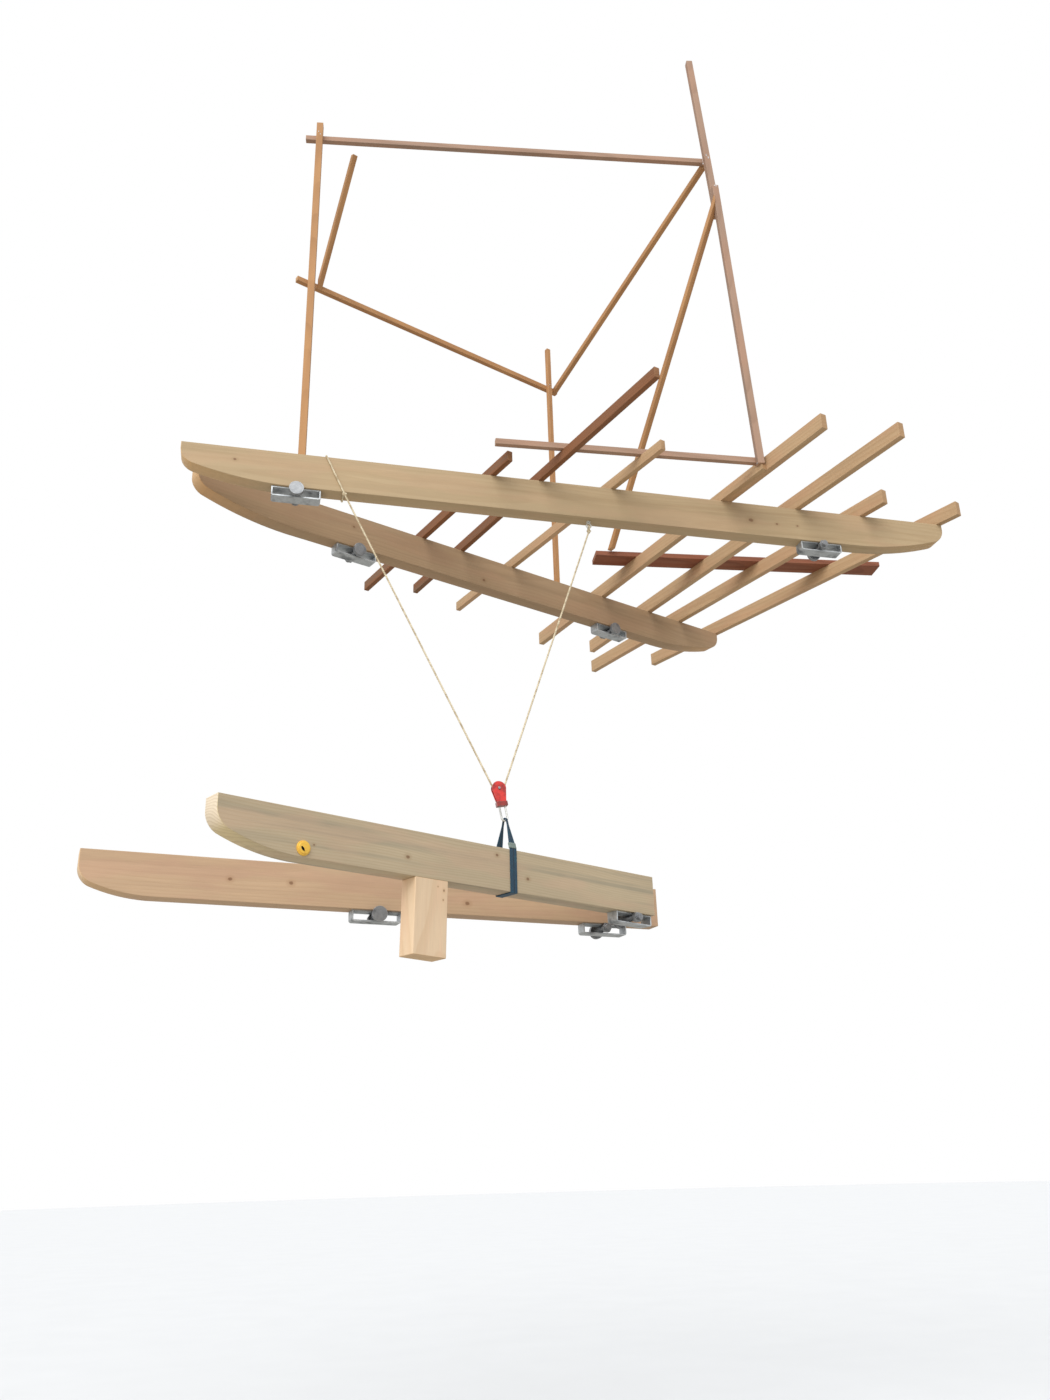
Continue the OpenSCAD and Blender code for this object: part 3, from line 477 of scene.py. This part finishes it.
def screw_head(shape):
    """The points of a new screw head at the origin, facing up."""
    head_r, head_t = 0.0042, 0.0016
    rim = bmesh.ops.create_cone(shape, cap_ends=True, segments=16, radius1=head_r, radius2=head_r,
                                depth=head_t)["verts"]
    crown = max({f for v in rim for f in v.link_faces}, key=lambda f: f.calc_center_median().z)
    for thickness, depth in ((0.0004, 0.0003), (0.0018, 0), (0.0003, -0.0012)):
        bmesh.ops.inset_individual(shape, faces=[crown], thickness=thickness, depth=depth)
    return [v for v in shape.verts if v.co.length < 0.006]


screws = bmesh.new()
light_sticks = ["front_sill_batten", "front_right_pole", "front_right_pole_top", "front_left_pole",
                "front_top_batten", "rear_right_pole", "rear_left_pole", "rear_top_batten",
                "right_roof_batten", "left_roof_batten", "raking_brace", "short_bearer"]
pairs = [(sticks[one], sticks[other]) for i, one in enumerate(light_sticks) for other in light_sticks[i + 1:]]
touching, half_gap, end_margin, proud = 0.075, 0.012, 0.008, 0.0002
for stick, other in pairs:
    here, there = nearest(stick, other)
    if not 0.001 < (there - here).length < touching:
        continue
    run, over, top = stick["run"], stick["over"], stick["top"]
    faces = [(over, stick["wide"]), (-over, stick["wide"]), (top, stick["deep"]), (-top, stick["deep"])]
    normal, through = min(faces, key=lambda f: f[0].dot(there - here))
    sideways = normal.cross(run)
    middle = (stick["start"] + stick["end"]) / 2
    reach = (stick["end"] - stick["start"]).length / 2 - end_margin
    for shift in (-half_gap, half_gap):
        head = screw_head(screws)
        place = here + run * shift + sideways * shift * 0.5
        slide = (place - middle).dot(run)
        place += run * (min(reach, max(-reach, slide)) - slide) + normal * (through / 2 + proud)
        bmesh.ops.transform(screws, verts=head, matrix=framed(sideways, run, normal, place))
bmesh.ops.recalc_face_normals(screws, faces=screws.faces)
screw_mesh = bpy.data.meshes.new("joint_screws")
screws.to_mesh(screw_mesh)
screws.free()
screw_mesh.materials.append(bracket_zinc)
screw_piece = added("joint_screws", screw_mesh)
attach(screw_piece, "root")

# Sling
# A loop of polyester webbing round the lower front beam, bunched where it goes
# over the bow of the shackle, with a grey sewn sleeve that keeps its front leg.


def webbing(name, dark, light, soiled, fold_shade):
    """Woven webbing: its threads' two colours, soiling, and a dark line painted as shade where the band is
    folded.
    """
    material, tree = new_material(name)
    place = put(tree, "TexCoord").outputs["Object"]
    warp = put(tree, "TexWave", {"Vector": place, "Scale": 380.0, "Distortion": 0.6},
               bands_direction="DIAGONAL").outputs[1]
    weft = put(tree, "TexWave", {"Vector": place, "Scale": 420.0, "Distortion": 0.4},
               bands_direction="Z").outputs[1]
    weave = sums(tree, "MAXIMUM", warp, weft)
    soil = mottled(tree, place, 24.0, 4.0)
    colour = mixed(tree, weave, srgb(*dark), srgb(*light))
    colour = tinted(tree, colour, stepped(tree, soil, 0.45, 0.75), 0.5, soiled)
    web = put(tree, "Attribute", attribute_name="web").outputs["Vector"]
    across = put(tree, "SeparateXYZ", {0: web}).outputs[0]
    # A dark line down the band's middle, painted as shade in the fold.
    flat = stepped(tree, sums(tree, "ABSOLUTE", across), 0.001, 0.005)
    colour = tinted(tree, colour, sums(tree, "SUBTRACT", 1.0, flat), 0.7, fold_shade)
    surfaced(tree, colour, soil, 0.6, 0.9, weave, 0.5, 0.0008)["Sheen Weight"].default_value = 0.1
    return material


lower_front_end = Vector((-2.338, -1.786, 0.0283))
lower_front_turn = math.radians(27.8)
sling_at = 1.792
sling_place = (Matrix.Translation(lower_front_end) @ Matrix.Rotation(lower_front_turn, 4, "Z")
               @ Matrix.Translation((sling_at, 0, 0)))
sling = dressed("lifting_sling", webbing(
    "navy webbing", dark=(10, 38, 54), light=(18, 64, 88), soiled=(28, 84, 100), fold_shade=(8, 18, 28)), 0.0015)
web = sling.attributes.new("web", "FLOAT_VECTOR", "POINT")
to_sling = sling_place.inverted()
for vert in sling.vertices:
    web.data[vert.index].vector = to_sling @ vert.co

sleeve_wide, sleeve_thick, sleeve_high, sleeve_wall = 0.051, 0.012, 0.034, 0.0016
sleeve_place = Matrix.Translation((0, 0.0035, 0.262)) @ Matrix.Rotation(math.radians(-15.3), 4, "X")
ripple_radians_per_m = 370
sleeve = bmesh.new()
bmesh.ops.create_cube(sleeve, size=1)
bmesh.ops.scale(sleeve, verts=sleeve.verts, vec=(sleeve_wide, sleeve_thick, sleeve_high))
corners = [e for e in sleeve.edges if abs(e.verts[0].co.z - e.verts[1].co.z) > 0.01]
bmesh.ops.bevel(sleeve, geom=corners, offset=0.005, segments=5, profile=0.5, affect="EDGES", material=-1)
bmesh.ops.delete(sleeve, geom=[f for f in sleeve.faces if abs(f.normal.z) > 0.9], context="FACES")
bmesh.ops.solidify(sleeve, geom=sleeve.faces, thickness=sleeve_wall)
upright = [e for e in sleeve.edges if abs(e.verts[0].co.z - e.verts[1].co.z) > 0.01]
bmesh.ops.subdivide_edges(sleeve, edges=upright, cuts=6)
for vert in sleeve.verts:
    vert.co.y *= 1.12 - 0.1 * math.cos(vert.co.z * ripple_radians_per_m)
bmesh.ops.transform(sleeve, verts=sleeve.verts, matrix=sling_place @ sleeve_place)
bmesh.ops.recalc_face_normals(sleeve, faces=sleeve.faces)
for face in sleeve.faces:
    face.smooth = True
sleeve_mesh = bpy.data.meshes.new("sling_keeper")
sleeve.to_mesh(sleeve_mesh)
sleeve.free()
sleeve_mesh.materials.append(webbing("grey keeper webbing", dark=(84, 98, 92), light=(122, 136, 128),
                                     soiled=(122, 136, 128), fold_shade=(122, 136, 128)))
keeper = added("sling_keeper", sleeve_mesh)
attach(keeper, "root")

# Shackle and eye
# A galvanised U shackle with a nut on each leg, and the eye screwed up into
# the underside of the upper front beam.
shackle_zinc = zinc("shackle zinc", (220, 220, 214), (176, 176, 172), rough=0.4)
dressed("sling_shackle", shackle_zinc, 0.0006)
dressed("hoist_eye", shackle_zinc, 0.0006)

# Pulley block
# A single-sheave snatch block, its cheeks enamelled red and chipped at the rims, its crosshead painted a
# darker red as shade, its axle and sheave bare steel.


def enamel(name, fresh, grimy):
    """Brushed enamel: its clean and grimy colours, chipped to primer along the edges."""
    material, tree = new_material(name)
    place = put(tree, "TexCoord").outputs["Object"]
    grime = mottled(tree, place, 30.0, 5.0)
    colour = mixed(tree, stepped(tree, grime, 0.4, 0.66), srgb(*fresh), srgb(*grimy))
    edge = put(tree, "Group", node_tree=worn_edge).outputs["Edge"]
    chipped = stepped(tree, mottled(tree, place, 160.0), 0.42, 0.6)
    colour = mixed(tree, sums(tree, "MULTIPLY", edge, chipped), colour, srgb(120, 106, 100))
    surfaced(tree, colour, grime, 0.22, 0.5, grime, 0.15, 0.0008)["Coat Weight"].default_value = 0.3
    return material


block = dressed("pulley_block", enamel("red enamel", (214, 46, 36), (150, 28, 22)), 0.0012)
# The crosshead's darker red enamel is painted shade.
block.materials.append(enamel("yoke enamel painted shade", (150, 40, 30), (108, 34, 28)))
block.materials.append(bolt_zinc)
bow = Vector((-0.7808, -0.8971, 0.4493))
left_knot, right_knot = Vector((-1.7489, -0.8603, 2.5087)), Vector((-0.16, -0.8035, 2.4551))
block_lean, axle_up = math.radians(10), 0.193
facing = (left_knot - bow).cross(right_knot - bow).normalized()
level = Vector((facing.y, -facing.x, 0)).normalized()
rise = level.cross(facing)
hang = rise * math.cos(block_lean) - level * math.sin(block_lean)
axle = bow + hang * axle_up
axle_r, cheek_out, sheave_r, sheave_half, yoke_up = 0.0085, 0.0152, 0.0312, 0.0085, 0.1135
for face in block.polygons:
    spot = face.center - axle
    out = abs(spot.dot(facing))
    away = (spot - facing * spot.dot(facing)).length
    on_axle = away < axle_r and out > cheek_out
    on_sheave = away < sheave_r and out < sheave_half
    if on_axle or on_sheave:
        face.material_index = 2
    # The lower part near the bow takes the darker red, painted as shade.
    elif (face.center - bow).dot(hang) < yoke_up:
        face.material_index = 1

# Hoist rope
# Three-strand laid polyester rope, taut between its turn round the upper front
# beam, the sheave and the eye, with a knot where each fall begins.
rope_cream, tree = new_material("cream rope")
place = put(tree, "TexCoord").outputs["Object"]
hair = mottled(tree, place, 900.0)
dirt = stepped(tree, mottled(tree, place, 40.0, 4.0), 0.4, 0.7)
colour = mixed(tree, dirt, srgb(222, 208, 178), srgb(184, 164, 130))
surfaced(tree, colour, hair, 0.7, 0.95, hair, 0.5, 0.0008)


def spaced(start, end, step=0.005):
    """Evenly spaced places from one point to another."""
    count = max(2, round((end - start).length / step))
    return [start.lerp(end, i / count) for i in range(count + 1)]


def ringed(centre, across, upward, radius, start, end, count):
    """Places round an arc, its angles in radians from across towards upward."""
    return [centre + (across * math.cos(a) + upward * math.sin(a)) * radius
            for a in (start + (end - start) * i / count for i in range(count + 1))]


def bend_from(knot, side):
    """The angle at which a fall to a knot leaves the sheave."""
    way = knot - axle
    far, high = way.dot(level), way.dot(rise)
    return math.atan2(high, far) + side * math.acos(bend_r / math.hypot(far, high))


bend_r, corner_r, eye_loop_r, knot_r = 0.028, 0.0066, 0.016, 0.0034
full = 2 * math.pi
bend = ringed(axle, level, rise, bend_r, bend_from(left_knot, 1), bend_from(right_knot, -1) + full, 20)
falls = spaced(left_knot, bend[0])[:-1] + bend + spaced(bend[-1], right_knot)[1:]

# The turn round the beam leans, and rounds the beam's four corners
turn_lean = math.radians(24.6)
lean, outward = Vector((-math.sin(turn_lean), 0, math.cos(turn_lean))), Vector((0, 1, 0))
turn_corner, turn_wide, turn_high = Vector((-1.755, -0.8623, 2.522)), 0.1176, 0.2778
bends = []
for y, z, begin in ((1, 0, -0.5), (1, 1, 0), (0, 1, 0.5), (0, 0, 1)):
    middle = (turn_corner + outward * (turn_wide * y + corner_r * (1 - 2 * y))
              + lean * (turn_high * z + corner_r * (1 - 2 * z)))
    bends += ringed(middle, outward, lean, corner_r, begin * math.pi, (begin + 0.5) * math.pi, 4)
turn_round = [p for a, b in zip(bends, bends[1:] + bends[:1]) for p in spaced(a, b)[:-1]] + bends[:1]

bight = ringed(Vector((-0.16, -0.8035, 2.4771)), outward, Vector((0, 0, 1)), eye_loop_r, 0, full, 32)
trefoil = [Vector((math.sin(t) + 2 * math.sin(2 * t), -math.sin(3 * t), math.cos(t) - 2 * math.cos(2 * t)))
           for t in (full * i / 60 for i in range(61))]
knots = [[knot + way * knot_r for way in trefoil] for knot in (left_knot, right_knot)]

strand_r, strand_off, lay_length = 0.0031, 0.0029, 0.044
rope_curve = bpy.data.curves.new("hoist_rope_strands", "CURVE")
rope_curve.dimensions = "3D"
rope_curve.bevel_depth = strand_r
rope_curve.bevel_resolution = 2
rope_curve.use_fill_caps = True
for route in [falls, turn_round, bight] + knots:
    side = (route[1] - route[0]).orthogonal().normalized()
    strands, gone = ([], [], []), 0
    for i, spot in enumerate(route):
        way = (route[min(i + 1, len(route) - 1)] - route[max(i - 1, 0)]).normalized()
        side = (side - way * side.dot(way)).normalized()
        gone += (spot - route[i - 1]).length if i else 0
        for k, strand in enumerate(strands):
            twist = Matrix.Rotation(full * (gone / lay_length + k / 3), 3, way)
            strand.append(spot + twist @ side * strand_off)
    for strand in strands:
        line = rope_curve.splines.new("POLY")
        line.points.add(len(strand) - 1)
        for point, spot in zip(line.points, strand):
            point.co = (*spot, 1)
laid = added("laid_strands", rope_curve)
bpy.context.view_layer.update()
rope_mesh = bpy.data.meshes.new_from_object(laid.evaluated_get(bpy.context.evaluated_depsgraph_get()))
bpy.data.objects.remove(laid)
rope_mesh.name = "hoist_rope_laid"
rope_mesh.materials.clear()
rope_mesh.materials.append(rope_cream)
for face in rope_mesh.polygons:
    face.use_smooth = True
rope = added("hoist_rope_laid", rope_mesh)
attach(rope, "root")
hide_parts("hoist_rope")

# Yellow plug
# A moulded plastic plug pushed into a hole near the left end of the lower front beam, with a rounded rim and
# a slot for turning it, the slot's inside painted near black as shade.
plastic, tree = new_material("yellow plastic")
dust = mottled(tree, put(tree, "TexCoord").outputs["Object"], 60.0, 4.0)
edge = put(tree, "Group", node_tree=worn_edge).outputs["Edge"]
colour = mixed(tree, stepped(tree, dust, 0.4, 0.75), srgb(240, 190, 68), srgb(222, 164, 52))
surfaced(tree, tinted(tree, colour, edge, 0.4, (250, 222, 130)), dust, 0.35, 0.6, dust, 0.15, 0.0006)
# The slot's inside is painted near black as shade, mottled a little.
slot_shade, tree = new_material("plug slot painted shade")
slot_shade_mottle = mottled(tree, put(tree, "TexCoord").outputs["Object"], 200.0, 3.0)
shader = tree.nodes["Principled BSDF"].inputs
tree.links.new(mixed(tree, slot_shade_mottle, srgb(30, 24, 14), srgb(70, 54, 26)), shader["Base Color"])
shader["Roughness"].default_value = 0.8

plug = bmesh.new()
flange_r, flange_t, crown_t, rim_r = 0.038, 0.007, 0.007, 0.0012
bmesh.ops.create_cone(plug, cap_ends=True, segments=48, radius1=flange_r, radius2=flange_r - 0.0015,
                      depth=flange_t)
bmesh.ops.translate(plug, verts=plug.verts, vec=(0, 0, flange_t / 2))
crown = max(plug.faces, key=lambda f: f.calc_center_median().z)
bmesh.ops.inset_individual(plug, faces=[crown], thickness=0.006, depth=0)
bmesh.ops.inset_individual(plug, faces=[crown], thickness=0.0012, depth=crown_t)
rims = [e for e in plug.edges if e.calc_face_angle(0) > 0.6]
bmesh.ops.bevel(plug, geom=rims, offset=rim_r, segments=3, profile=0.5, affect="EDGES", material=-1)
crown = max(plug.faces, key=lambda f: (round(f.calc_center_median().z, 5), f.calc_area()))
bmesh.ops.inset_individual(plug, faces=[crown], thickness=0.011, depth=0)
bmesh.ops.scale(plug, verts=crown.verts, vec=(0.8, 0.42, 1))
bmesh.ops.rotate(plug, verts=crown.verts, matrix=Matrix.Rotation(math.radians(-52), 3, "Z"))
bmesh.ops.translate(plug, verts=crown.verts, vec=(-0.009, -0.006, 0))
bmesh.ops.inset_individual(plug, faces=[crown], thickness=0.0008, depth=-0.009)
# The slot's floor and walls take the painted shade.
for face in [crown] + [f for e in crown.edges for f in e.link_faces]:
    face.material_index = 1
along_beam = Vector((math.cos(lower_front_turn), math.sin(lower_front_turn), 0))
out_of_beam = Vector((math.sin(lower_front_turn), -math.cos(lower_front_turn), 0))
upward = Vector((0, 0, 1))
plug_at, plug_up = 0.461, 0.045
seat = lower_front_end + along_beam * plug_at + upward * plug_up
bmesh.ops.transform(plug, verts=plug.verts, matrix=framed(along_beam, upward, out_of_beam, seat))
bmesh.ops.recalc_face_normals(plug, faces=plug.faces)
for face in plug.faces:
    face.smooth = True
plug_mesh = bpy.data.meshes.new("beam_plug_moulded")
plug.to_mesh(plug_mesh)
plug.free()
plug_mesh.set_sharp_from_angle(angle=0.7)
plug_mesh.materials.append(plastic)
plug_mesh.materials.append(slot_shade)
plug_piece = added("beam_plug_moulded", plug_mesh)
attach(plug_piece, "root")
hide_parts("beam_plug")

# Studio
# A pale floor 2.85 m below the collars of the lower bolts, a white world for
# the camera, and soft light from above and from low on the left.
floor_shape = bmesh.new()
floor_z = -2.852
bmesh.ops.create_circle(floor_shape, cap_ends=True, segments=96, radius=60)
bmesh.ops.translate(floor_shape, verts=floor_shape.verts, vec=(0, 0, floor_z))
floor_mesh = bpy.data.meshes.new("floor")
floor_shape.to_mesh(floor_mesh)
floor_shape.free()
floor_paint, tree = new_material("pale floor")
speck = mottled(tree, put(tree, "TexCoord").outputs["Object"], 2.0, 4.0)
lit = mixed(tree, speck, (0.42, 0.40, 0.36, 1), (0.46, 0.44, 0.40, 1))
seen = mixed(tree, speck, (0.72, 0.72, 0.71, 1), (0.76, 0.76, 0.75, 1))
shader = tree.nodes["Principled BSDF"].inputs
tree.links.new(mixed(tree, put(tree, "LightPath").outputs["Is Camera Ray"], lit, seen), shader["Base Color"])
shader["Roughness"].default_value = 0.9
floor_mesh.materials.append(floor_paint)
floor = added("floor", floor_mesh)

sun = added("sun", bpy.data.lights.new("sun", "SUN"))
sun.data.energy = 2.4
sun.data.angle = 1.0
sun.rotation_euler = (math.radians(48), 0, math.radians(-30))
low_fill = added("low fill", bpy.data.lights.new("low fill", "AREA"))
low_fill.data.size = 2.5
low_fill.data.energy = 52
low_fill.data.color = (1.0, 0.93, 0.8)
low_fill.visible_camera = False
fill_turn = Vector((-2.6, -1.4, -2.7)).to_track_quat("Z", "Y").to_matrix().to_4x4()
low_fill.matrix_world = Matrix.Translation((-4.6, -2.6, -2.6)) @ fill_turn

world = bpy.data.worlds.new("studio")
world.use_nodes = True
tree = world.node_tree
rays = put(tree, "LightPath").outputs
mirrored = sums(tree, "MAXIMUM", rays["Is Glossy Ray"], rays["Is Transmission Ray"])
light = tree.nodes["Background"]
light.inputs["Color"].default_value = (0.92, 0.95, 1.0, 1)
light.inputs["Strength"].default_value = 0.78
backdrop = put(tree, "Background", {"Color": (1, 1, 1, 1), "Strength": 1.0})
shown = put(tree, "MixShader", {0: sums(tree, "MAXIMUM", rays["Is Camera Ray"], mirrored),
                                1: light.outputs[0], 2: backdrop.outputs[0]})
tree.links.new(shown.outputs[0], tree.nodes["World Output"].inputs["Surface"])
bpy.context.scene.world = world
bpy.context.scene.view_settings.view_transform = "Standard"
